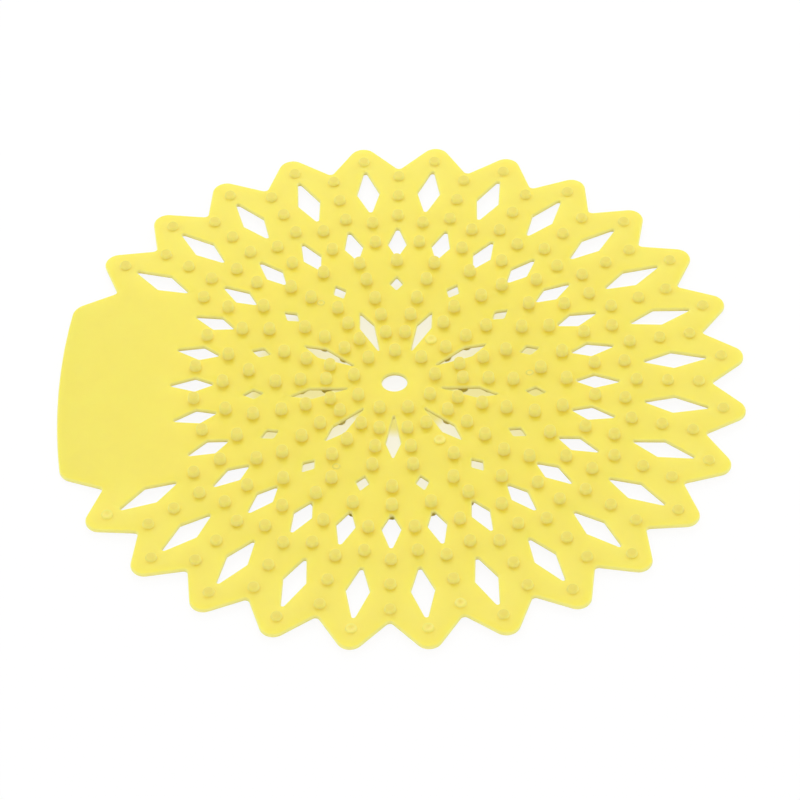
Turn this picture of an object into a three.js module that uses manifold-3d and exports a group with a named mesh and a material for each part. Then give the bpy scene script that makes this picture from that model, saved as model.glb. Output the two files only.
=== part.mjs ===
// Urinal deodorizer screen: one thin moulded disc with pointed petals round its rim, a plain tab to
// lift it by, rings of drain holes, and short studs that stand on both faces at the same places.
// Millimetres, +Z up. The screen lies on the ends of its lower studs.

import * as THREE from 'three';
import { mergeVertices } from 'three/addons/utils/BufferGeometryUtils.js';
import Module from 'manifold-3d';

const wasm = await Module();
wasm.setup();

// Driving dimensions. Radii are from the centre of the screen, and angles are in degrees from +X.

// Plate
const plateThickness = 1.4;
const centreHoleRadius = 3.4;

// Petals: the rim is divided into even pitches, and the tab takes the place of a few petals at -X.
const petalPitches = 28;
const pitchesUnderTab = 4;
const petalApexRadius = 97.2;
const petalTipRounding = 3.8;
const valleyRadius = 85.1;
const valleyRounding = 1.1;

// Tab
const tabReach = 90.9;
const tabBulge = 2.4;
const tabHalfWidth = 32;
const tabCornerRounding = 4.6;
const tabRootRadius = 59;

// Studs: full height as far as the inner ring, then falling evenly to the rim ring.
const studRadius = 1.6;
const studEndRadius = 1.5;
const studHeight = 2.5;
const studDomeHeight = 0.6;
const rimStudHeight = 1.2;

// Stud rings, from the centre outwards. The studs beside a slot stand at an angle to its line.
const hubStudRadius = 11.1;
const innerSlotStuds = { radius: 18.4, angle: 11.7 };
const middleSlotStuds = { radius: 25.3, angle: 10.8 };
const outerSlotStuds = { radius: 32, angle: 9.7 };
const smallHoleStudRadius = 39.6;
const innerStudRadius = 46.3;
const betweenStudRadius = 54.2;
const valleyStudInset = 3.3;
const valleyStudCount = 3;
const rimStudInset = 8.6;

// Plate left between a stud and the tip of the drain hole in line with it
const innerStudToMiddleHole = 0.4;
const middleHoleToValleyStud = 2;
const rootStudToPetalHole = 2.8;
const petalHoleToRimStud = 1.2;

// Rings placed by the rim
const rimStudRadius = petalApexRadius - rimStudInset;
const lastValleyStudRadius = valleyRadius - valleyStudInset;

// Drain holes: each is a kite whose long axis points at the centre.
const petalHole = {
  inner: 66.7,
  widest: 75.4,
  outer: rimStudRadius - studRadius - petalHoleToRimStud,
  halfWidth: 3.15,
};
const middleHole = {
  inner: innerStudRadius + studRadius + innerStudToMiddleHole,
  widest: 53.8,
  outer: 61.5,
  halfWidth: 2.6,
};
const smallHole = { inner: 35.5, widest: 38, outer: 40.9, halfWidth: 1.85 };
const smallHoleCount = 15;
const smallHoleFirstAngle = 90;
const slot = { inner: 12, widest: 22.8, outer: 28.6, halfWidth: 2 };
const slotCount = 9;
const slotFirstAngle = 270;

// Facets
const tipSteps = 4;
const valleySteps = 1;
const tabCornerSteps = 3;
const tabEdgeSteps = 6;
const centreHoleSides = 12;
const upperStudSides = 5;
const lowerStudSides = 4;

// Worked out from the sizes above
const pitch = 360 / petalPitches;
const tabHalfAngle = (pitchesUnderTab * pitch) / 2;
const petalCount = petalPitches - pitchesUnderTab;
const petalRootStudRadius = petalHole.inner - studRadius - rootStudToPetalHole;
const firstValleyStudRadius = middleHole.outer + studRadius + middleHoleToValleyStud;
const firstValleyAngle = -180 + tabHalfAngle;
const tabMargin = pitch / 4;
const cutOverrun = plateThickness;
const weldDistance = 1e-4;
const mostFilletRatio = 0.48;

const screenMaterial = new THREE.MeshStandardMaterial({
  color: 0xf7e76c,
  roughness: 0.42,
  metalness: 0,
});

function polar(radius, angle) {
  const turn = THREE.MathUtils.degToRad(angle);
  return new THREE.Vector2(radius * Math.cos(turn), radius * Math.sin(turn));
}

function regularPolygon(radius, sides) {
  return Array.from({ length: sides }, (_, side) => polar(radius, (side * 360) / sides));
}

// A closed mesh becomes a solid once its corners are shared.
function toSolid(geometry) {
  geometry.deleteAttribute('normal');
  geometry.deleteAttribute('uv');
  const merged = mergeVertices(geometry, weldDistance);
  const vertProperties = new Float32Array(merged.attributes.position.array);
  const triVerts = new Uint32Array(merged.index.array);
  return new wasm.Manifold(new wasm.Mesh({ numProp: 3, vertProperties, triVerts }));
}

function toGeometry(solid) {
  const mesh = solid.getMesh();
  const geometry = new THREE.BufferGeometry();
  geometry.setAttribute('position', new THREE.BufferAttribute(mesh.vertProperties, 3));
  geometry.setIndex(new THREE.BufferAttribute(mesh.triVerts, 1));
  geometry.computeVertexNormals();
  return geometry;
}

// Upright solid of an outline, from one height to another
function prism(outline, bottom, top) {
  const shape = new THREE.Shape(outline);
  const geometry = new THREE.ExtrudeGeometry(shape, { depth: top - bottom, bevelEnabled: false });
  geometry.translate(0, 0, bottom);
  return toSolid(geometry);
}

// The arc that rounds a corner between its two neighbours, kept short of the middle of either side
function roundedCorner(before, corner, after, radius, steps) {
  const toBefore = before.clone().sub(corner);
  const toAfter = after.clone().sub(corner);
  const halfAngle = toBefore.angleTo(toAfter) / 2;
  const longest = Math.min(toBefore.length(), toAfter.length()) * mostFilletRatio;
  const setback = Math.min(radius / Math.tan(halfAngle), longest);
  const arcRadius = setback * Math.tan(halfAngle);
  toBefore.normalize();
  toAfter.normalize();
  const inward = toBefore.clone().add(toAfter).normalize();
  const centre = inward.multiplyScalar(arcRadius / Math.sin(halfAngle)).add(corner);
  const start = toBefore.multiplyScalar(setback).add(corner).sub(centre);
  const end = toAfter.multiplyScalar(setback).add(corner).sub(centre);
  const sweep = start.angleTo(end) * Math.sign(start.cross(end));
  const points = [];
  for (let step = 0; step <= steps; step += 1) {
    points.push(start.clone().rotateAround(new THREE.Vector2(), (sweep * step) / steps).add(centre));
  }
  return points;
}

// Corners are { point, radius, steps }. One with no steps stays sharp.
function roundedOutline(corners) {
  return corners.flatMap((corner, index) => {
    if (!corner.steps) {
      return [corner.point];
    }
    const before = corners.at(index - 1).point;
    const after = corners[(index + 1) % corners.length].point;
    return roundedCorner(before, corner.point, after, corner.radius, corner.steps);
  });
}

// The rim: a valley, then a petal and a valley for each pitch, then the tab back to the first valley
function plateOutline() {
  const valley = (angle) => ({
    point: polar(valleyRadius, angle),
    radius: valleyRounding,
    steps: valleySteps,
  });
  const corners = [valley(firstValleyAngle)];
  for (let petal = 0; petal < petalCount; petal += 1) {
    const start = firstValleyAngle + petal * pitch;
    corners.push({
      point: polar(petalApexRadius, start + pitch / 2),
      radius: petalTipRounding,
      steps: tipSteps,
    });
    corners.push(valley(start + pitch));
  }
  for (let step = 0; step <= tabEdgeSteps; step += 1) {
    const across = 1 - (2 * step) / tabEdgeSteps;
    const isCorner = step === 0 || step === tabEdgeSteps;
    corners.push({
      point: new THREE.Vector2(tabBulge * across ** 2 - tabReach, tabHalfWidth * across),
      radius: tabCornerRounding,
      steps: isCorner ? tabCornerSteps : 0,
    });
  }
  return roundedOutline(corners);
}

function kiteOutline({ inner, widest, outer, halfWidth }, angle) {
  const side = new THREE.Vector2(widest, halfWidth);
  const turn = THREE.MathUtils.degToRad(angle);
  const centre = new THREE.Vector2();
  return [
    polar(inner, angle),
    new THREE.Vector2(side.x, -side.y).rotateAround(centre, turn),
    polar(outer, angle),
    side.rotateAround(centre, turn),
  ];
}

// Angles of a ring of places, without those that the tab takes up where the ring crosses it
function ringAngles(count, firstAngle, radius) {
  const angles = [];
  for (let index = 0; index < count; index += 1) {
    const angle = firstAngle + (index * 360) / count;
    const fromTab = Math.abs(THREE.MathUtils.euclideanModulo(angle, 360) - 180);
    const onTab = radius > tabRootRadius && fromTab < tabHalfAngle + tabMargin;
    if (!onTab) {
      angles.push(angle);
    }
  }
  return angles;
}

function drainHoles() {
  const rings = [
    { kite: petalHole, angles: ringAngles(petalPitches, pitch / 2, petalHole.widest) },
    { kite: middleHole, angles: ringAngles(petalPitches, 0, middleHole.widest) },
    { kite: smallHole, angles: ringAngles(smallHoleCount, smallHoleFirstAngle, smallHole.widest) },
    { kite: slot, angles: ringAngles(slotCount, slotFirstAngle, slot.widest) },
  ];
  const outlines = rings.flatMap(({ kite, angles }) => angles.map((angle) => kiteOutline(kite, angle)));
  return [regularPolygon(centreHoleRadius, centreHoleSides), ...outlines];
}

// The studs in line with a valley, evenly spaced from the middle hole out to the rim
function valleyStudRadii() {
  return Array.from({ length: valleyStudCount }, (_, index) =>
    THREE.MathUtils.lerp(firstValleyStudRadius, lastValleyStudRadius, index / (valleyStudCount - 1)),
  );
}

function studPlaces() {
  const halfPitch = pitch / 2;
  const betweenSmallHoles = smallHoleFirstAngle + 180 / smallHoleCount;
  const rings = [
    [hubStudRadius, slotCount, slotFirstAngle + 180 / slotCount],
    ...[innerSlotStuds, middleSlotStuds, outerSlotStuds].flatMap(({ radius, angle }) => [
      [radius, slotCount, slotFirstAngle - angle],
      [radius, slotCount, slotFirstAngle + angle],
    ]),
    [smallHoleStudRadius, smallHoleCount, betweenSmallHoles],
    [innerStudRadius, petalPitches, 0],
    [betweenStudRadius, petalPitches, halfPitch],
    [petalRootStudRadius, petalPitches, halfPitch],
    ...valleyStudRadii().map((radius) => [radius, petalPitches, 0]),
    [rimStudRadius, petalPitches, halfPitch],
  ];
  return rings.flatMap(([radius, count, firstAngle]) =>
    ringAngles(count, firstAngle, radius).map((angle) => ({ radius, angle })),
  );
}

function studHeightAt(radius) {
  const outward = (radius - innerStudRadius) / (rimStudRadius - innerStudRadius);
  return THREE.MathUtils.lerp(studHeight, rimStudHeight, Math.max(0, outward));
}

// Corner radius of a regular polygon with the area of a circle
function equalAreaRadius(radius, sides) {
  return radius * Math.sqrt((2 * Math.PI) / (sides * Math.sin((2 * Math.PI) / sides)));
}

// The domed stud on the upper face, on its own axis and rooted at the plate's middle
function upperStud(height) {
  const baseRadius = equalAreaRadius(studRadius, upperStudSides);
  const endRadius = equalAreaRadius(studEndRadius, upperStudSides);
  const face = plateThickness / 2;
  const profile = [
    new THREE.Vector2(0, 0),
    new THREE.Vector2(baseRadius, 0),
    new THREE.Vector2(baseRadius, face),
    new THREE.Vector2(endRadius, face + height - studDomeHeight),
    new THREE.Vector2(0, face + height),
  ];
  return new THREE.LatheGeometry(profile, upperStudSides).rotateX(Math.PI / 2);
}

// The stud on the lower face, flat where it stands on what is below, with a flat side to the centre
function lowerStud(height) {
  const corners = regularPolygon(equalAreaRadius(studRadius, lowerStudSides), lowerStudSides);
  const depth = plateThickness / 2 + height;
  const shape = new THREE.Shape(corners);
  const geometry = new THREE.ExtrudeGeometry(shape, { depth, bevelEnabled: false });
  return geometry.rotateZ(Math.PI / lowerStudSides).translate(0, 0, -depth);
}

function studPair({ radius, angle }) {
  const height = studHeightAt(radius);
  const place = polar(radius, angle);
  const turn = THREE.MathUtils.degToRad(angle);
  return [upperStud(height), lowerStud(height)].map((geometry) =>
    toSolid(geometry.rotateZ(turn).translate(place.x, place.y, 0)),
  );
}

function screenSolid() {
  const halfPlate = plateThickness / 2;
  let solid = prism(plateOutline(), -halfPlate, halfPlate);
  for (const outline of drainHoles()) {
    solid = solid.subtract(prism(outline, -halfPlate - cutOverrun, halfPlate + cutOverrun));
  }
  for (const stud of studPlaces().flatMap(studPair)) {
    solid = solid.add(stud);
  }
  return solid;
}

// The origin is under the middle of the footprint, at the level that the lower studs stand on.
function screenMesh() {
  const geometry = toGeometry(screenSolid());
  geometry.computeBoundingBox();
  const box = geometry.boundingBox;
  const mesh = new THREE.Mesh(geometry, screenMaterial);
  mesh.name = 'deodorizer_screen';
  mesh.position.set(-(box.min.x + box.max.x) / 2, -(box.min.y + box.max.y) / 2, -box.min.z);
  return mesh;
}

const group = new THREE.Group();
group.add(screenMesh());

export default group;
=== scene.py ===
"""Urinal deodorizer screen: the looks of one soft moulding, and a plain studio to show it in."""

import math

import bpy
import numpy as np
from bpy.props import FloatProperty, FloatVectorProperty, IntProperty, PointerProperty
from mathutils import Matrix, Vector
from mathutils.geometry import delaunay_2d_cdt


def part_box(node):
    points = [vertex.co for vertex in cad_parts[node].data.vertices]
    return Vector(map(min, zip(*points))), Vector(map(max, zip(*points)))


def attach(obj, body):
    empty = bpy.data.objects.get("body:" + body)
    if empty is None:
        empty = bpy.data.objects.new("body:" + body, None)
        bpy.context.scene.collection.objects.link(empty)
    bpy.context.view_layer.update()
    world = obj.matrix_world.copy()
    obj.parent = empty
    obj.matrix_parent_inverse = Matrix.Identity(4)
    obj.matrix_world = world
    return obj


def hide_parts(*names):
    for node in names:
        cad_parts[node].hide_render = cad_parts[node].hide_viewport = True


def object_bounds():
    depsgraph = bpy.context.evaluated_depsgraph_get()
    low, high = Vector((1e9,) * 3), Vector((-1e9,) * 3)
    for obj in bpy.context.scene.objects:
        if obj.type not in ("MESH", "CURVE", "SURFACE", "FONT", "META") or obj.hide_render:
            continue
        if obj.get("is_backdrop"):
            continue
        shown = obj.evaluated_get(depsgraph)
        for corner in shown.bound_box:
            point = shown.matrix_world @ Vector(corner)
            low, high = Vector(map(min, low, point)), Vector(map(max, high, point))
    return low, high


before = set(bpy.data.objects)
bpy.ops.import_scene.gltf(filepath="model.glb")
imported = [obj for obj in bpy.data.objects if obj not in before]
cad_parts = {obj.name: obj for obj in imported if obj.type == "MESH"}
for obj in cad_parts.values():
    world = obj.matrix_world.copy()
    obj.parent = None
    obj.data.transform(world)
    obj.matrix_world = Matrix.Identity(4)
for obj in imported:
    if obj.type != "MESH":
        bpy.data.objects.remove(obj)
cad_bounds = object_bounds()

bl_info = {
    "name": "Urinal Deodorizer Screen",
    "version": (1, 0, 0),
    "blender": (4, 5, 0),
    "location": "3D View > Sidebar > Screen",
    "description": "Makes a moulded drain screen with petals, drain holes and studs",
    "category": "Add Mesh",
}

NODE = "deodorizer_screen"
MM = 0.001
BOX_LOW, BOX_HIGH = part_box(NODE)
MID_HEIGHT = (BOX_LOW.z + BOX_HIGH.z) / 2


# Property definitions


def length(name, description, millimetres):
    """A length that a user can change, given in millimetres"""
    return FloatProperty(
        name=name, description=description, default=millimetres * MM, min=0, precision=5, unit="LENGTH"
    )


def turn(name, description, degrees):
    """An angle that a user can change, given in degrees"""
    return FloatProperty(name=name, description=description, default=math.radians(degrees), unit="ROTATION")


def linear(channel):
    """Linear value of one sRGB channel"""
    return channel / 12.92 if channel <= 0.04045 else ((channel + 0.055) / 1.055) ** 2.4


def from_hex(value):
    """Linear colour of an sRGB hex value"""
    return [linear(int(value[i : i + 2], 16) / 255) for i in (1, 3, 5)]


def colour(name, description, value):
    """A colour that a user can change, given as an sRGB hex value"""
    return FloatVectorProperty(
        name=name, description=description, default=from_hex(value), size=3, min=0, max=1, subtype="COLOR"
    )


class PlateSettings(bpy.types.PropertyGroup):
    """The flat body of the screen: its petals and its tab"""

    thickness: length("Thickness", "Thickness of the plate", 1.4)
    edge_rounding: length("Edge rounding", "How far in from its edges the plate starts to round off", 0.45)
    edge_depth: length("Edge depth", "How far down the rounding of an edge reaches", 0.65)
    pitches: IntProperty(name="Petal pitches", description="Even pitches round the rim", default=28)
    tab_pitches: IntProperty(name="Tab pitches", description="Pitches that the tab takes", default=4)
    apex_radius: length("Petal apex", "Where the sides of a petal would meet", 97.2)
    tip_rounding: length("Petal tip", "Radius of a petal's tip", 3.85)
    valley_radius: length("Valley", "Where the sides of two petals would meet", 85.1)
    valley_rounding: length("Valley rounding", "Radius between two petals", 1.1)
    tab_reach: length("Tab reach", "From the centre to the middle of the tab's edge", 90.9)
    tab_bulge: length("Tab bulge", "How far the middle of the tab's edge stands out", 2.4)
    tab_half_width: length("Tab half width", "Half the width of the tab's edge", 32)
    tab_corner: length("Tab corner", "Radius of the tab's corners", 4.6)
    tab_root: length("Tab root", "Rings outside this leave the tab bare", 59)
    tab_sag: length("Tab sag", "How much further than the petals the soft tab sinks at its edge", 1)


class StudSettings(bpy.types.PropertyGroup):
    """The studs of both faces"""

    radius: length("Radius", "Radius of a stud at its foot", 1.6)
    end_radius: length("End radius", "Radius of a stud below its rounded end", 1.5)
    fillet: length("Fillet", "Radius between a stud and the plate", 0.15)
    end_rounding: length("End rounding", "Radius round a stud's end", 0.6)
    crown: length("Crown", "How far the middle of a stud's end stands out", 0.15)
    rim_height: length("Rim height", "Height of the studs on the petal tips", 1.2)
    short_height: length("Short height", "Height of a stud that the mould didn't fill", 0.7)
    dimple: length("Dimple", "Depth of the dimple in the end of a short stud", 0.35)


class ColourSettings(bpy.types.PropertyGroup):
    """The colours of the moulding and of the studio"""

    plate: colour("Plate", "The thin plate, where light comes through it", "#FFDF4A")
    # Painted light: the plate is painted paler near its edges and towards the rim, for light that gets into
    # the plastic there
    edge: colour("Edge", "The plate near its edges, where more light gets in", "#FFE463")
    # Painted light and shade: studs are painted paler at their sides and darker at their ends than the
    # plate, for light that comes through thin plastic but not through thick
    stud_end_painted_shade: colour("Stud end", "The end of a stud, where the plastic is thickest", "#DAC952")
    stud_side_painted_light: colour("Stud side", "The side of a stud", "#F9E878")
    # Painted light: the walls are painted paler than the plate, standing in for light that comes out of the
    # plastic through them
    wall: colour("Wall", "The walls of the holes and the rim", "#FCE78C")
    floor: colour("Floor", "The floor and the backdrop", "#FFFFFF")
    floor_glow: colour("Floor glow", "The floor below the middle, lit through the plastic", "#F3E57E")


class CameraSettings(bpy.types.PropertyGroup):
    """Where the picture is taken from"""

    distance: length("Distance", "From the centre of the screen", 1359.7)
    elevation: turn("Elevation", "Height of the view above the floor", 45.28)
    azimuth: turn("Azimuth", "Turn of the view round the screen", 2.479)
    roll: turn("Roll", "Turn of the picture round its middle", 2.312)
    lens: FloatProperty(name="Lens", description="Focal length", default=227.35, unit="CAMERA")
    shift_x: FloatProperty(name="Shift X", description="Sideways shift of the picture", default=0.00676)
    shift_y: FloatProperty(name="Shift Y", description="Upward shift of the picture", default=-0.0207)


class ScreenSettings(bpy.types.PropertyGroup):
    """All that a user can change"""

    plate: PointerProperty(type=PlateSettings)
    stud: PointerProperty(type=StudSettings)
    colours: PointerProperty(type=ColourSettings)
    camera: PointerProperty(type=CameraSettings)


# Drain holes and rings, in millimetres and degrees


CENTRE_HOLE = {"radius": 3.4, "sides": 48}
PETAL_HOLE = {"inner": 66.7, "widest": 75.4, "outer": 85.8, "half_width": 3.15, "end_rounding": 0.5}
MIDDLE_HOLE = {"inner": 48.3, "widest": 53.8, "outer": 61.5, "half_width": 2.6, "end_rounding": 0.5}
SMALL_HOLE = {"inner": 35.5, "widest": 38, "outer": 40.9, "half_width": 1.85, "end_rounding": 0.2}
SLOT = {"inner": 12, "widest": 22.8, "outer": 28.6, "half_width": 2, "end_rounding": 0.2}
HOLE_SIDE_ROUNDING = 0.7
SMALL_HOLES = 15
SMALL_FIRST = 90
SLOTS = 9
SLOT_FIRST = 270
HUB_STUD_RADIUS = 11.1
SLOT_STUDS = ((18.4, 11.7), (25.3, 10.8), (32, 9.7))
SMALL_STUD_RADIUS = 39.6
INNER_STUD_RADIUS = 46.3
BETWEEN_STUD_RADIUS = 54.2
ROOT_STUD_RADIUS = 62.3
VALLEY_STUD_RADII = (65.1, 73.45, 81.8)
RIM_STUD_RADIUS = 88.6
UPPER_SIDES = 16
LOWER_SIDES = 12

# Steps of the arcs that round the corners of an outline, and how much of a side one arc may take

TIP_STEPS = 10
VALLEY_STEPS = 4
TAB_CORNER_STEPS = 10
TAB_EDGE_STEPS = 8
TAB_BULGE_STEPS = 2
HOLE_STEPS = 4
FILLET_SHARE = 0.48

# Upper studs that the mould didn't fill, as (ring, angle): how near an angle counts as the same, how round
# such a stud's end is, where its dimple has rings, and how much of a full stud's painted end shade it gets

SHORT_STUDS = ((88.6, 212), (88.6, 263.6), (88.6, 276.4), (81.8, 282.9), (18.4, 58.3), (25.3, 299.2))
SAME_PLACE = 1
SHORT_STUD_ROUNDING = 0.3
DIMPLE_SHARES = (1 / 3, 2 / 3)
SHORT_STUD_END_SHADE = 0.35

# The marks that the three gates of the mould left, as (radius, angle), and their sizes and share of the
# stud ends' painted shade

GATE_MARKS = ((36.5, 4.5), (36.8, 124), (34.8, 244.5))
GATE_MARK = {"radius": 1.25, "crest": 0.85, "height": 0.25, "middle": 0.05, "dark": 0.7}

# Angles of the rings round an edge, a fillet and a stud's end, in degrees from upright

EDGE_ANGLES = (0, 25, 50, 70, 90)
FILLET_ANGLES = (0, 45, 90)
END_ANGLES = (90, 60, 35, 12)
SHORT_END_ANGLES = (90, 45, 0)

# How far upright walls lean for the shading, and how far up a stud the painted light of its side reaches
# full strength

WALL_SHADING_ANGLE = 35
STUD_COLOUR_START = 0.2

# Sag of the soft plate, from the inner stud ring to the rim and along the tab, as powers of the way out,
# and how far to either side of a place its slope is measured

SAG_POWER = 1.3
TAB_SAG_POWER = 1.5
TAB_BEND_START = 62
TAB_BEND_FADE = 8
SLOPE_REACH = 0.5

# Points between the outlines of the flat faces, and how far they stay from an edge and from a stud's middle

POINT_SPACING = 2.4
POINT_MARGIN = 0.8
STUD_MARGIN = 2.4

# Corners nearer than the first are one corner, and no distance is divided by less than the second

MERGE_DISTANCE = 1e-7
LEAST_DISTANCE = 1e-6

# How much the soft plate leans towards an edge, over what distance, and how much paler it is painted there
# and
# towards the rim: painted light, standing in for the light that gets into the plastic there

EDGE_LEAN = 0.3
EDGE_LEAN_REACH = 2
EDGE_LEAN_LIMIT = 8
EDGE_PAINTED_GLOW = 0.35
RIM_PAINTED_GLOW = 0.5

# Studio, in metres and watts: how white the floor is where it is seen, how far it reaches from the middle,
# the light of the sky, and one lamp behind the screen

FLOOR_WHITENESS = 0.92
FLOOR_REACH = 3
SKY_LIGHT = 0.905
BACK_LAMP = {"place": (-0.1, 1.0, 1.2), "size": 0.8, "power": 5}

# Camera: the width of its sensor in millimetres, and the nearest distance that it shows, in metres

SENSOR_WIDTH = 36
CLIP_START = 0.01

# The glow on the floor, painted there because the renderer doesn't pass on the light that comes through the
# plastic: its strength by the distance from the middle, under the hub and under the slots, how quickly the
# second fades away from the X axis, and what is left of it across that axis

HUB_GLOW = ((5.5, 0.06), (9.5, 1), (13, 1), (20, 0))
SLOT_GLOW = ((8, 0), (16, 0.8), (28, 0.8), (38, 0.9), (46, 0))
GLOW_REACH = 46
GLOW_POWER = 4.0
GLOW_LEAST = 0.4

# The plastic: roughness and IOR of moulded EVA, and how far light spreads in it, in millimetres, with the
# share of that distance that red, green and blue reach

ROUGHNESS = 0.48
IOR = 1.48
SPREAD = 2.5
SPREAD_SHARES = (1.0, 1.0, 0.45)

# Mottling and grain of the moulded surface, in millimetres: the real grain is about half as coarse, which
# wouldn't show

MOTTLE_SIZE = 7
MOTTLE_SHARE = 0.03
GRAIN_SIZE = 0.5
GRAIN_DEPTH = 0.02


# Plan shapes: every loop keeps the plate on its left, and each point has the direction into the plate


def polar(radius, degrees):
    """The point at a radius and an angle"""
    angle = math.radians(degrees)
    return Vector((radius * math.cos(angle), radius * math.sin(angle)))


def rounded_corner(before, corner, after, radius, steps):
    """The arc that rounds a corner, as (point, direction into the plate)"""
    to_before = before - corner
    to_after = after - corner
    half_angle = to_before.angle(to_after) / 2
    shorter = min(to_before.length, to_after.length)
    setback = min(radius / math.tan(half_angle), FILLET_SHARE * shorter)
    arc_radius = setback * math.tan(half_angle)
    side = 1 if to_after.cross(to_before) > 0 else -1
    bisector = (to_before.normalized() + to_after.normalized()).normalized()
    centre = corner + bisector * arc_radius / math.sin(half_angle)
    spoke = corner + to_before.normalized() * setback - centre
    sweep = side * (math.pi - 2 * half_angle)
    points = []
    for step in range(steps + 1):
        turned = Matrix.Rotation(sweep * step / steps, 2) @ spoke
        points.append((centre + turned, turned.normalized() * -side))
    return points


def rounded_loop(corners):
    """A closed loop of corners, each (point, radius, steps)"""
    loop = []
    for index, (point, radius, steps) in enumerate(corners):
        before = corners[index - 1][0]
        after = corners[(index + 1) % len(corners)][0]
        loop += rounded_corner(before, point, after, radius, steps)
    return loop


def rim_loop(plate):
    """The petals and the tab, anticlockwise"""
    pitch = 360 / plate.pitches
    first = -180 + plate.tab_pitches * pitch / 2
    valley_radius = plate.valley_radius / MM
    valley_corner = plate.valley_rounding / MM, VALLEY_STEPS
    corners = [(polar(valley_radius, first), *valley_corner)]
    for petal in range(plate.pitches - plate.tab_pitches):
        start = first + petal * pitch
        apex = polar(plate.apex_radius / MM, start + pitch / 2)
        corners.append((apex, plate.tip_rounding / MM, TIP_STEPS))
        corners.append((polar(valley_radius, start + pitch), *valley_corner))
    for step in range(TAB_EDGE_STEPS + 1):
        across = 1 - 2 * step / TAB_EDGE_STEPS
        x = plate.tab_bulge / MM * across**2 - plate.tab_reach / MM
        point = Vector((x, plate.tab_half_width / MM * across))
        at_end = step in (0, TAB_EDGE_STEPS)
        radius = plate.tab_corner / MM if at_end else plate.apex_radius / MM
        corners.append((point, radius, TAB_CORNER_STEPS if at_end else TAB_BULGE_STEPS))
    return rounded_loop(corners)


def kite_loop(kite, degrees):
    """A drain hole with its long axis through the centre, clockwise"""
    rotation = Matrix.Rotation(math.radians(degrees), 2)
    plan = (
        (kite["inner"], 0, kite["end_rounding"]),
        (kite["widest"], kite["half_width"], HOLE_SIDE_ROUNDING),
        (kite["outer"], 0, kite["end_rounding"]),
        (kite["widest"], -kite["half_width"], HOLE_SIDE_ROUNDING),
    )
    return rounded_loop([(rotation @ Vector((x, y)), radius, HOLE_STEPS) for x, y, radius in plan])


def centre_loop():
    """The round hole in the middle, clockwise"""
    sides = CENTRE_HOLE["sides"]
    spokes = [polar(1, -360 * side / sides) for side in range(sides)]
    return [(spoke * CENTRE_HOLE["radius"], spoke) for spoke in spokes]


def ring_angles(plate, count, first, radius):
    """Angles of a ring of places, without those that the tab takes up"""
    pitch = 360 / plate.pitches
    limit = plate.tab_pitches * pitch / 2 + pitch / 4
    angles = [first + index * 360 / count for index in range(count)]
    if radius < plate.tab_root / MM:
        return angles
    return [angle for angle in angles if abs(angle % 360 - 180) >= limit]


def hole_loops(plate):
    """The outlines of all the drain holes"""
    pitches = plate.pitches
    rings = (
        (PETAL_HOLE, pitches, 180 / pitches),
        (MIDDLE_HOLE, pitches, 0),
        (SMALL_HOLE, SMALL_HOLES, SMALL_FIRST),
        (SLOT, SLOTS, SLOT_FIRST),
    )
    loops = [centre_loop()]
    for kite, count, first in rings:
        loops += [kite_loop(kite, angle) for angle in ring_angles(plate, count, first, kite["widest"])]
    return loops


def stud_places(plate):
    """(radius, angle) of every stud"""
    half = 180 / plate.pitches
    rings = [
        (HUB_STUD_RADIUS, SLOTS, SLOT_FIRST + 180 / SLOTS),
        (SMALL_STUD_RADIUS, SMALL_HOLES, SMALL_FIRST + 180 / SMALL_HOLES),
        (INNER_STUD_RADIUS, plate.pitches, 0),
        (BETWEEN_STUD_RADIUS, plate.pitches, half),
        (ROOT_STUD_RADIUS, plate.pitches, half),
        (RIM_STUD_RADIUS, plate.pitches, half),
    ]
    rings += [(radius, SLOTS, SLOT_FIRST + side * off) for radius, off in SLOT_STUDS for side in (-1, 1)]
    rings += [(radius, plate.pitches, 0) for radius in VALLEY_STUD_RADII]
    return [(r, angle) for r, count, first in rings for angle in ring_angles(plate, count, first, r)]


def outward_share(radius):
    """How far out a place is, from 0 at the inner stud ring to 1 at the rim's"""
    return (radius - INNER_STUD_RADIUS) / (RIM_STUD_RADIUS - INNER_STUD_RADIUS)


def screen_centre(plate):
    """The middle of the plate in the frame: the solid's box starts at the edge of the tab"""
    return Vector((BOX_LOW.x + plate.tab_reach, 0, MID_HEIGHT))


# The moulding's mesh


class Moulding:
    """Points, normals and faces of one closed mesh, in millimetres from the middle of the plate"""

    def __init__(self):
        self.points = []
        self.anchors = []
        self.normals = []
        self.stud = []
        self.end = []
        self.wall = []
        # Share of the painted glow: paler near the edges and towards the rim
        self.edge = []
        self.faces = []

    def add(self, plan, height, normal, anchor=None, stud=0.0, end=0.0, wall=0.0):
        """Adds a point that sags with its anchor, and how far it is up a stud, on its end and on a wall"""
        self.points.append((plan.x, plan.y, height))
        self.anchors.append(anchor or plan)
        self.normals.append(normal)
        self.stud.append(stud)
        self.end.append(end)
        self.wall.append(wall)
        return len(self.points) - 1

    def strip(self, ring, following):
        """Quads between two rings, with the outside on the right of the first"""
        for index in range(len(ring)):
            after = (index + 1) % len(ring)
            self.faces.append((ring[index], following[index], following[after], ring[after]))


def soft_normal(outward, angle):
    """Normal at an angle from upright. Walls shade as if they leaned, since light comes out of them too."""
    if angle <= 90:
        angle *= WALL_SHADING_ANGLE / 90
    else:
        angle = 180 - (180 - angle) * (180 - WALL_SHADING_ANGLE) / 90
    sine = math.sin(math.radians(angle))
    return (outward.x * sine, outward.y * sine, math.cos(math.radians(angle)))


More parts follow.
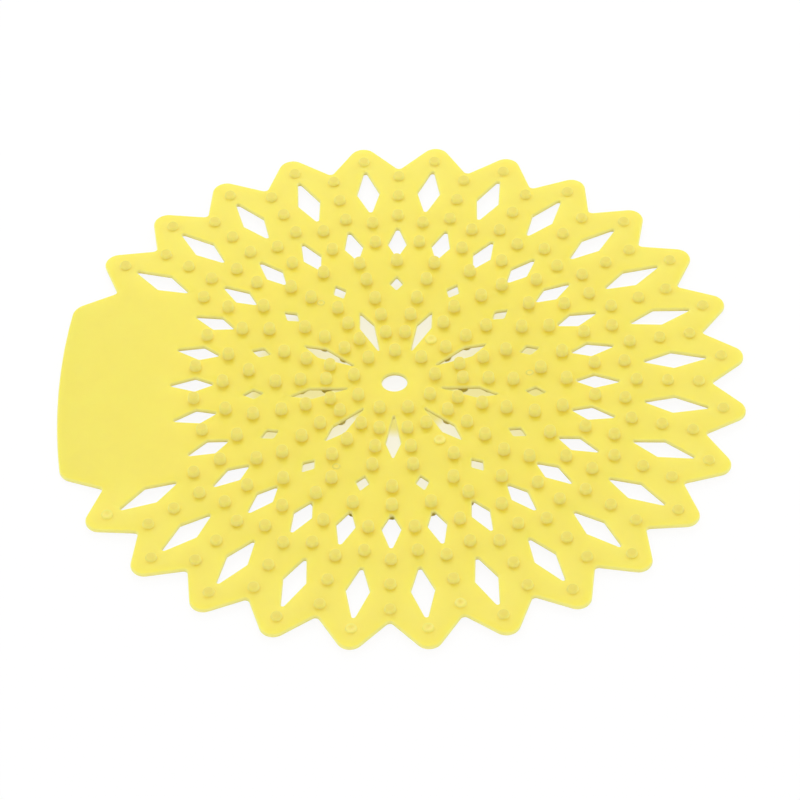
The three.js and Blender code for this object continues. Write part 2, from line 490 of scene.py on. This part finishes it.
def edge_rings(moulding, loop, plate):
    """Wraps the rounded edge of the plate round a loop. Returns its rings on the two flat faces."""
    half = plate.thickness / MM / 2
    inset, depth = plate.edge_rounding / MM, plate.edge_depth / MM
    rings = []
    for side, angles in ((1, EDGE_ANGLES), (-1, EDGE_ANGLES[::-1])):
        for angle in angles:
            sine = math.sin(math.radians(angle))
            height = side * (half - depth * (1 - math.cos(math.radians(angle))))
            from_upright = angle if side == 1 else 180 - angle
            ring = []
            for point, inward in loop:
                plan = point + inward * inset * (1 - sine)
                normal = soft_normal(-inward, from_upright)
                ring.append(moulding.add(plan, height, normal, point + inward * inset, wall=sine))
            rings.append(ring)
    for ring, following in zip(rings, rings[1:]):
        moulding.strip(ring, following)
    return rings[0], rings[-1]


def rounded_end(end, rounding, shoulder, angles):
    """(radius, height, angle from upright, share of the end) round the end of a stud"""
    profile = []
    for angle in angles:
        lean = math.radians(angle)
        radius = end - rounding * (1 - math.sin(lean))
        height = shoulder + rounding * math.cos(lean)
        profile.append((radius, height, angle, 1 - angle / 90))
    return profile


def foot_profile(stud):
    """(radius, height, angle from upright, share of the end) up the fillet between the plate and a stud"""
    profile = []
    for angle in FILLET_ANGLES:
        lean = math.radians(angle)
        radius = (stud.radius + stud.fillet * (1 - math.sin(lean))) / MM
        profile.append((radius, stud.fillet / MM * (1 - math.cos(lean)), angle, 0))
    return profile


def stud_profile(stud, height):
    """A straight stud with a rounded end"""
    rounding = stud.end_rounding / MM
    shoulder = height - stud.crown / MM - rounding
    return foot_profile(stud) + rounded_end(stud.end_radius / MM, rounding, shoulder, END_ANGLES)


def short_stud_profile(stud):
    """A low stud with a dimple in its end"""
    end, height = stud.end_radius / MM, stud.short_height / MM
    profile = foot_profile(stud)
    profile += rounded_end(end, SHORT_STUD_ROUNDING, height - SHORT_STUD_ROUNDING, SHORT_END_ANGLES)
    lip = end - SHORT_STUD_ROUNDING
    slope = math.degrees(math.atan2(stud.dimple / MM, lip))
    for share in DIMPLE_SHARES:
        depth = stud.dimple / MM * math.sin(math.pi / 2 * share) ** 2
        profile.append((lip * (1 - share), height - depth, -2 * slope, 1))
    return [(radius, rise, angle, share * SHORT_STUD_END_SHADE) for radius, rise, angle, share in profile]


def gate_mark_profile():
    """A low ring with a sunk middle, left where the moulding broke from the gate"""
    radius, crest, height = (GATE_MARK[name] for name in ("radius", "crest", "height"))
    slope = math.degrees(math.atan2(height, radius - crest))
    dark = GATE_MARK["dark"]
    half_way = (radius + crest) / 2, height / 2, 2 * slope, dark
    middle = 2 * crest - radius, GATE_MARK["middle"], -slope, 0
    return [(radius, 0, 0, 0), half_way, (crest, height, 0, dark), middle]


def add_stud(moulding, centre, profile, top, side, sides, base):
    """Builds a stud up from its foot ring, on the upper face (side 1) or the lower (side -1)"""
    rings = []
    for radius, rise, angle, end in profile:
        up = min(1, rise / STUD_COLOUR_START)
        ring = []
        for step in range(sides):
            spoke = polar(1, 360 * step / sides)
            normal = soft_normal(spoke, angle if side == 1 else 180 - angle)
            plan = centre + spoke * radius
            ring.append(moulding.add(plan, side * (base + rise), normal, centre, up, end))
        rings.append(ring)
    for ring, following in zip(rings, rings[1:]):
        moulding.strip(*((following, ring) if side == 1 else (ring, following)))
    pole = moulding.add(centre, side * (base + top), (0, 0, side), None, up, end)
    last = rings[-1]
    for index in range(sides):
        after = (index + 1) % sides
        pair = (last[index], last[after]) if side == 1 else (last[after], last[index])
        moulding.faces.append((*pair, pole))
    return rings[0]


def inside_odd(points, loops):
    """Whether each point lies inside an odd number of loops"""
    odd = np.zeros(len(points), bool)
    x, y = points[:, 0], points[:, 1]
    for loop in loops:
        low, high = loop.min(0), loop.max(0)
        near = (x > low[0]) & (x < high[0]) & (y > low[1]) & (y < high[1])
        if not near.any():
            continue
        start, end = loop, np.roll(loop, -1, axis=0)
        px, py = x[near][:, None], y[near][:, None]
        spans = (start[:, 1] > py) != (end[:, 1] > py)
        rise = end[:, 1] - start[:, 1]
        rise = np.where(rise == 0, 1, rise)
        cross = start[:, 0] + (py - start[:, 1]) * (end[:, 0] - start[:, 0]) / rise
        odd[near] ^= (spans & (px < cross)).sum(1) % 2 == 1
    return odd


def flat_face(moulding, rings, inner, side):
    """Fills a flat face between its rim, its holes and the feet of its studs, by way of its inner points"""
    indices = [index for ring in [*rings, inner] for index in ring]
    plan = [Vector(moulding.points[index][:2]) for index in indices]
    edges = []
    start = 0
    for ring in rings:
        count = len(ring)
        edges += [(start + step, start + (step + 1) % count) for step in range(count)]
        start += count
    corners, _, triangles, sources, _, _ = delaunay_2d_cdt(plan, edges, [], 0, MERGE_DISTANCE, True)
    if len(corners) != len(plan):
        raise RuntimeError("two outlines of a flat face cross each other")
    points = np.array([(corner.x, corner.y) for corner in corners])
    triangles = np.array(triangles)
    loops = [np.array([moulding.points[index][:2] for index in ring]) for ring in rings]
    kept = triangles[inside_odd(points[triangles].mean(1), loops)]
    for triangle in kept.tolist():
        a, b, c = (indices[sources[corner][0]] for corner in triangle)
        moulding.faces.append((a, b, c) if side == 1 else (a, c, b))


def nearest_on_loop(points, loop):
    """Distance and direction from each point to the nearest place on a loop"""
    start, span = loop, np.roll(loop, -1, axis=0) - loop
    spans = (span**2).sum(1)
    share = ((points[:, None] - start) * span).sum(2) / np.where(spans == 0, 1, spans)
    offsets = start + span * share.clip(0, 1)[:, :, None] - points[:, None]
    distances = np.sqrt((offsets**2).sum(2))
    nearest = distances.argmin(1)
    rows = np.arange(len(points))
    distance = distances[rows, nearest]
    return distance, offsets[rows, nearest] / np.maximum(distance, LEAST_DISTANCE)[:, None]


def near_loops(points, loops, reach):
    """Yields, for each loop, which points lie near it, and their distances and directions to it"""
    for loop in loops:
        low, high = loop.min(0) - reach, loop.max(0) + reach
        near = np.flatnonzero(((points > low) & (points < high)).all(1))
        if len(near):
            yield near, *nearest_on_loop(points[near], loop)


def plate_points(moulding, plate, loops, studs, side):
    """Points between the outlines of a flat face, so that it can sag and lean"""
    reach = np.abs(loops[0]).max()
    steps = int(2 * reach / POINT_SPACING)
    grid = np.linspace(-reach, reach, steps)
    points = np.array([(x, y) for x in grid for y in grid])
    points = points[inside_odd(points, loops)]
    room = np.full(len(points), POINT_SPACING)
    for near, distance, _ in near_loops(points, loops, POINT_SPACING):
        room[near] = np.minimum(room[near], distance)
    gaps = np.sqrt(((points[:, None] - studs) ** 2).sum(2)).min(1)
    kept = points[(room > POINT_MARGIN + plate.edge_rounding / MM) & (gaps > STUD_MARGIN)]
    half = plate.thickness / MM / 2
    return [moulding.add(Vector(point), side * half, (0, 0, side)) for point in kept.tolist()]


def edge_leans(moulding, loops):
    """How each point of the plate leans towards the edges near it. Also sets the share of the painted glow,
    paler near the edges and towards the rim.
    """
    places = np.array([tuple(anchor) for anchor in moulding.anchors])
    leans = np.zeros_like(places)
    nearness = np.zeros(len(places))
    for near, distance, direction in near_loops(places, loops, EDGE_LEAN_LIMIT):
        share = np.exp(-distance / EDGE_LEAN_REACH)
        leans[near] += EDGE_LEAN * share[:, None] * direction
        nearness[near] += share
    leans[np.array(moulding.stud) > 0] = 0
    outward = outward_share(np.sqrt((places**2).sum(1)))
    # Painted glow: paler colour near the edges and towards the rim, where more light gets in
    moulding.edge = (EDGE_PAINTED_GLOW * nearness + RIM_PAINTED_GLOW * outward.clip(0, 1)).clip(0, 1).tolist()
    return leans


def sag(settings, plan):
    """How far the soft plate sinks at a place: its shorter outer studs come to rest, and so does the tab"""
    plate, stud = settings.plate, settings.stud
    full_height = (MID_HEIGHT - plate.thickness / 2) / MM
    outward = max(0, outward_share(plan.length))
    sunk = (full_height - stud.rim_height / MM) * outward**SAG_POWER
    along = max(0, (-plan.x - TAB_BEND_START) / (plate.tab_reach / MM - TAB_BEND_START))
    side = polar(plate.valley_radius / MM, plate.tab_pitches * 180 / plate.pitches).y
    beside = min(1, max(0, (abs(plan.y) - side) / TAB_BEND_FADE))
    fade = (1 + math.cos(math.pi * beside)) / 2
    return sunk + plate.tab_sag / MM * along**TAB_SAG_POWER * fade


def settle(settings, moulding, loops):
    """Sinks each point by the sag at its anchor and leans its normal with the slope and the edges there"""
    leans = edge_leans(moulding, loops).tolist()
    sideways, along = Vector((SLOPE_REACH, 0)), Vector((0, SLOPE_REACH))
    span = 2 * SLOPE_REACH
    for index, anchor in enumerate(moulding.anchors):
        x, y, height = moulding.points[index]
        moulding.points[index] = (x, y, height - sag(settings, anchor))
        slope_x = (sag(settings, anchor + sideways) - sag(settings, anchor - sideways)) / span
        slope_y = (sag(settings, anchor + along) - sag(settings, anchor - along)) / span
        nx, ny, nz = moulding.normals[index]
        lean_x, lean_y = leans[index]
        leaning = Vector((nx + slope_x * nz + lean_x, ny + slope_y * nz + lean_y, nz))
        moulding.normals[index] = tuple(leaning.normalized())


def is_short(radius, angle):
    """Whether the upper stud at a place is one that the mould didn't fill"""
    in_ring = [other for ring, other in SHORT_STUDS if ring == radius]
    return any(abs((angle - other + 180) % 360 - 180) < SAME_PLACE for other in in_ring)


def build_moulding(settings):
    """The whole screen: edges, studs, gate marks and the two flat faces between them, then the sag"""
    plate, stud = settings.plate, settings.stud
    half = plate.thickness / MM / 2
    full_height = MID_HEIGHT / MM - half
    moulding = Moulding()
    upper, lower = [], []
    outlines = [rim_loop(plate), *hole_loops(plate)]
    loops = [np.array([tuple(point) for point, _ in outline]) for outline in outlines]
    for outline in outlines:
        top, bottom = edge_rings(moulding, outline, plate)
        upper.append(top)
        lower.append(bottom)
    places = stud_places(plate)
    studs = np.array([tuple(polar(radius, angle)) for radius, angle in [*places, *GATE_MARKS]])
    for radius, angle in places:
        outward = max(0, outward_share(radius))
        height = full_height + (stud.rim_height / MM - full_height) * outward
        profile = stud_profile(stud, height)
        centre = polar(radius, angle)
        lower.append(add_stud(moulding, centre, profile, height, -1, LOWER_SIDES, half))
        if is_short(radius, angle):
            profile = short_stud_profile(stud)
            height = (stud.short_height - stud.dimple) / MM
        upper.append(add_stud(moulding, centre, profile, height, 1, UPPER_SIDES, half))
    mark = gate_mark_profile()
    for radius, angle in GATE_MARKS:
        centre = polar(radius, angle)
        upper.append(add_stud(moulding, centre, mark, GATE_MARK["middle"], 1, UPPER_SIDES, half))
    for rings, side in ((upper, 1), (lower, -1)):
        flat_face(moulding, rings, plate_points(moulding, plate, loops, studs, side), side)
    settle(settings, moulding, loops)
    return moulding


def moulding_object(moulding, name, centre):
    """Makes the mesh in metres, with the middle of its plate at centre"""
    mesh = bpy.data.meshes.new(name)
    points = [Vector(point) * MM + centre for point in moulding.points]
    mesh.from_pydata(points, [], moulding.faces)
    mesh.validate()
    mesh.shade_smooth()
    mesh.normals_split_custom_set_from_vertices(moulding.normals)
    for field in ("stud", "end", "wall", "edge"):
        attribute = mesh.attributes.new(field, "FLOAT", "POINT")
        attribute.data.foreach_set("value", getattr(moulding, field))
    piece = bpy.data.objects.new(name, mesh)
    bpy.context.scene.collection.objects.link(piece)
    return piece


# Materials


def add_node(tree, kind, settings=None, inputs=None):
    """Adds a node, sets its options, and sets or links its inputs"""
    node = tree.nodes.new(kind)
    for name, value in (settings or {}).items():
        setattr(node, name, value)
    for name, value in (inputs or {}).items():
        if isinstance(value, bpy.types.NodeSocket):
            tree.links.new(value, node.inputs[name])
        else:
            node.inputs[name].default_value = value
    return node


def empty_material(name):
    """A material without nodes"""
    material = bpy.data.materials.new(name)
    material.use_nodes = True
    material.node_tree.nodes.clear()
    return material


def rgba(value):
    """A colour with the alpha that a socket takes"""
    return (*value, 1.0)


def scented_eva(colours):
    """Soft EVA, injection moulded: light spreads inside it. Its colour carries painted light and shade:
    paler near the edges, rim and walls, paler stud sides, and darker stud ends where less light comes
    through.
    """
    material = empty_material("Moulded soft EVA")
    tree = material.node_tree
    base = rgba(colours.plate)
    # Painted light and shade on the plate's colour: a paler glow near edges and rim, paler walls, paler
    # stud sides, darker stud ends
    layers = (
        ("edge", colours.edge),
        ("wall", colours.wall),
        ("stud", colours.stud_side_painted_light),
        ("end", colours.stud_end_painted_shade),
    )
    for field, layer in layers:
        share = add_node(tree, "ShaderNodeAttribute", {"attribute_name": field})
        inputs = {0: share.outputs["Fac"], 6: base, 7: rgba(layer)}
        base = add_node(tree, "ShaderNodeMix", {"data_type": "RGBA"}, inputs).outputs[2]
    place = add_node(tree, "ShaderNodeTexCoord").outputs["Object"]
    mottle = add_node(tree, "ShaderNodeTexNoise", None, {"Vector": place, "Scale": 1 / (MOTTLE_SIZE * MM)})
    patches = add_node(
        tree,
        "ShaderNodeMapRange",
        None,
        {"Value": mottle.outputs[0], "To Min": 1 - MOTTLE_SHARE, "To Max": 1 + MOTTLE_SHARE},
    )
    body = add_node(
        tree, "ShaderNodeVectorMath", {"operation": "SCALE"}, {0: base, "Scale": patches.outputs[0]}
    )
    grain = add_node(tree, "ShaderNodeTexNoise", None, {"Vector": place, "Scale": 1 / (GRAIN_SIZE * MM)})
    bump = add_node(
        tree,
        "ShaderNodeBump",
        None,
        {"Height": grain.outputs[0], "Strength": 1.0, "Distance": GRAIN_DEPTH * MM},
    )
    shader = add_node(
        tree,
        "ShaderNodeBsdfPrincipled",
        {"subsurface_method": "RANDOM_WALK"},
        {
            "Base Color": body.outputs[0],
            "Normal": bump.outputs[0],
            "Roughness": ROUGHNESS,
            "IOR": IOR,
            "Subsurface Weight": 1.0,
            "Subsurface Radius": SPREAD_SHARES,
            "Subsurface Scale": SPREAD * MM,
        },
    )
    add_node(tree, "ShaderNodeOutputMaterial", None, {"Surface": shader.outputs[0]})
    return material


def add_seen_share(tree, share):
    """The share for what is seen, directly, in a reflection or through the piece, and 0 for the rest"""
    path = add_node(tree, "ShaderNodeLightPath")
    seen = path.outputs["Is Camera Ray"]
    for ray in ("Is Glossy Ray", "Is Transmission Ray"):
        pair = {0: seen, 1: path.outputs[ray]}
        seen = add_node(tree, "ShaderNodeMath", {"operation": "MAXIMUM"}, pair).outputs[0]
    product = add_node(tree, "ShaderNodeMath", {"operation": "MULTIPLY"}, {0: seen, 1: share})
    return product.outputs[0]


def studio_floor(colours):
    """White paper: takes the screen's soft shadow, and glows yellow below its lit middle"""
    material = empty_material("Matt white paper")
    tree = material.node_tree
    place = add_node(tree, "ShaderNodeNewGeometry").outputs["Position"]
    from_middle = add_node(tree, "ShaderNodeVectorMath", {"operation": "LENGTH"}, {0: place})
    outward = add_node(
        tree,
        "ShaderNodeMath",
        {"operation": "DIVIDE"},
        {0: from_middle.outputs["Value"], 1: GLOW_REACH * MM},
    )
    glows = []
    for steps in (HUB_GLOW, SLOT_GLOW):
        ramp = add_node(tree, "ShaderNodeValToRGB", None, {"Fac": outward.outputs[0]})
        ramp.color_ramp.interpolation = "EASE"
        stops = ramp.color_ramp.elements
        stops[1].position = 0
        for radius, strength in steps:
            stops.new(radius / GLOW_REACH).color = (strength, strength, strength, 1)
        # The two stops that every ramp starts with lie at 0 now, and go
        stops.remove(stops[0])
        stops.remove(stops[0])
        glows.append(ramp.outputs[0])
    hub_glow, slot_glow = glows
    unit = add_node(tree, "ShaderNodeVectorMath", {"operation": "NORMALIZE"}, {0: place}).outputs[0]
    cosine = add_node(tree, "ShaderNodeSeparateXYZ", None, {0: unit}).outputs["X"]
    fade = add_node(tree, "ShaderNodeMath", {"operation": "POWER"}, {0: cosine, 1: GLOW_POWER}).outputs[0]
    spread = add_node(tree, "ShaderNodeMapRange", None, {"Value": fade, "To Min": GLOW_LEAST}).outputs[0]
    under_slots = add_node(tree, "ShaderNodeMath", {"operation": "MULTIPLY"}, {0: slot_glow, 1: spread})
    brighter = {0: hub_glow, 1: under_slots.outputs[0]}
    glow = add_node(tree, "ShaderNodeMath", {"operation": "MAXIMUM"}, brighter).outputs[0]
    shades = {0: glow, 6: rgba(colours.floor), 7: rgba(colours.floor_glow)}
    tint = add_node(tree, "ShaderNodeMix", {"data_type": "RGBA"}, shades).outputs[2]
    paper = add_node(tree, "ShaderNodeBsdfDiffuse", None, {"Color": tint})
    white = add_node(tree, "ShaderNodeEmission", None, {"Color": tint, "Strength": 1.0})
    seen = add_seen_share(tree, FLOOR_WHITENESS)
    mix = add_node(tree, "ShaderNodeMixShader", None, {0: seen, 1: paper.outputs[0], 2: white.outputs[0]})
    add_node(tree, "ShaderNodeOutputMaterial", None, {"Surface": mix.outputs[0]})
    return material


# Operators


class DEODORIZER_OT_moulding(bpy.types.Operator):
    """Make the moulded screen in place of its plain solid"""

    bl_idname = "deodorizer.moulding"
    bl_label = "Moulded screen"

    def execute(self, context):
        settings = context.scene.deodorizer_screen
        centre = screen_centre(settings.plate)
        piece = moulding_object(build_moulding(settings), "moulded_screen", centre)
        piece.data.materials.append(scented_eva(settings.colours))
        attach(piece, "root")
        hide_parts(NODE)
        return {"FINISHED"}


def make_floor(colours):
    """A wide sheet of paper under the screen"""
    mesh = bpy.data.meshes.new("paper_floor")
    signs = ((-1, -1), (1, -1), (1, 1), (-1, 1))
    corners = [(x * FLOOR_REACH, y * FLOOR_REACH, 0) for x, y in signs]
    mesh.from_pydata(corners, [], [(0, 1, 2, 3)])
    floor = bpy.data.objects.new("paper_floor", mesh)
    floor.data.materials.append(studio_floor(colours))
    bpy.context.scene.collection.objects.link(floor)
    floor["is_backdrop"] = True


def make_world():
    """Even white light from all round, and a white backdrop"""
    world = bpy.data.worlds.new("Soft white studio")
    world.use_nodes = True
    tree = world.node_tree
    tree.nodes.clear()
    light = add_node(tree, "ShaderNodeBackground", None, {"Color": (1, 1, 1, 1), "Strength": SKY_LIGHT})
    white = add_node(tree, "ShaderNodeBackground", None, {"Color": (1, 1, 1, 1), "Strength": 1.0})
    seen = add_seen_share(tree, 1.0)
    mix = add_node(tree, "ShaderNodeMixShader", None, {0: seen, 1: light.outputs[0], 2: white.outputs[0]})
    add_node(tree, "ShaderNodeOutputWorld", None, {"Surface": mix.outputs[0]})
    bpy.context.scene.world = world


def make_lamp():
    """A soft lamp behind the screen, turned to its middle"""
    lamp = bpy.data.lights.new("back_lamp", "AREA")
    lamp.shape = "DISK"
    lamp.size = BACK_LAMP["size"]
    lamp.energy = BACK_LAMP["power"]
    holder = bpy.data.objects.new("back_lamp", lamp)
    holder.location = BACK_LAMP["place"]
    holder.rotation_euler = holder.location.to_track_quat("Z", "Y").to_euler()
    bpy.context.scene.collection.objects.link(holder)


def make_camera(settings, centre):
    """The camera, which looks at the screen's centre"""
    camera = bpy.data.cameras.new("picture_camera")
    camera.sensor_width = SENSOR_WIDTH
    camera.sensor_fit = "HORIZONTAL"
    camera.lens = settings.lens
    camera.shift_x = settings.shift_x
    camera.shift_y = settings.shift_y
    camera.clip_start = CLIP_START
    round_screen = Matrix.Rotation(settings.azimuth, 3, "Z")
    above_floor = Matrix.Rotation(math.pi / 2 - settings.elevation, 3, "X")
    rotation = round_screen @ above_floor @ Matrix.Rotation(-settings.roll, 3, "Z")
    backward = rotation @ Vector((0, 0, 1))
    holder = bpy.data.objects.new("picture_camera", camera)
    holder.matrix_world = Matrix.Translation(centre + backward * settings.distance) @ rotation.to_4x4()
    bpy.context.scene.collection.objects.link(holder)
    bpy.context.scene.camera = holder


class DEODORIZER_OT_stage(bpy.types.Operator):
    """Make the floor, the lamp, the sky and the camera"""

    bl_idname = "deodorizer.stage"
    bl_label = "Studio and camera"

    def execute(self, context):
        settings = context.scene.deodorizer_screen
        make_camera(settings.camera, screen_centre(settings.plate))
        make_floor(settings.colours)
        make_world()
        make_lamp()
        context.scene.view_settings.view_transform = "Standard"
        return {"FINISHED"}


class DEODORIZER_PT_panel(bpy.types.Panel):
    """Lists the steps that make the screen"""

    bl_idname = "DEODORIZER_PT_panel"
    bl_label = "Deodorizer Screen"
    bl_space_type = "VIEW_3D"
    bl_region_type = "UI"
    bl_category = "Screen"

    def draw(self, context):
        for operator in (DEODORIZER_OT_stage, DEODORIZER_OT_moulding):
            self.layout.operator(operator.bl_idname)


CLASSES = (
    PlateSettings,
    StudSettings,
    ColourSettings,
    CameraSettings,
    ScreenSettings,
    DEODORIZER_OT_moulding,
    DEODORIZER_OT_stage,
    DEODORIZER_PT_panel,
)


def register():
    for cls in CLASSES:
        bpy.utils.register_class(cls)
    bpy.types.Scene.deodorizer_screen = PointerProperty(type=ScreenSettings)


def unregister():
    del bpy.types.Scene.deodorizer_screen
    for cls in reversed(CLASSES):
        bpy.utils.unregister_class(cls)


def main():
    """Make the stage and the screen"""
    register()
    bpy.ops.deodorizer.stage()
    bpy.ops.deodorizer.moulding()
    bounds = {"cad": cad_bounds, "visual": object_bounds()}
    sizes = {name: [list(corner) for corner in corners] for name, corners in bounds.items()}


if __name__ == "__main__":
    main()
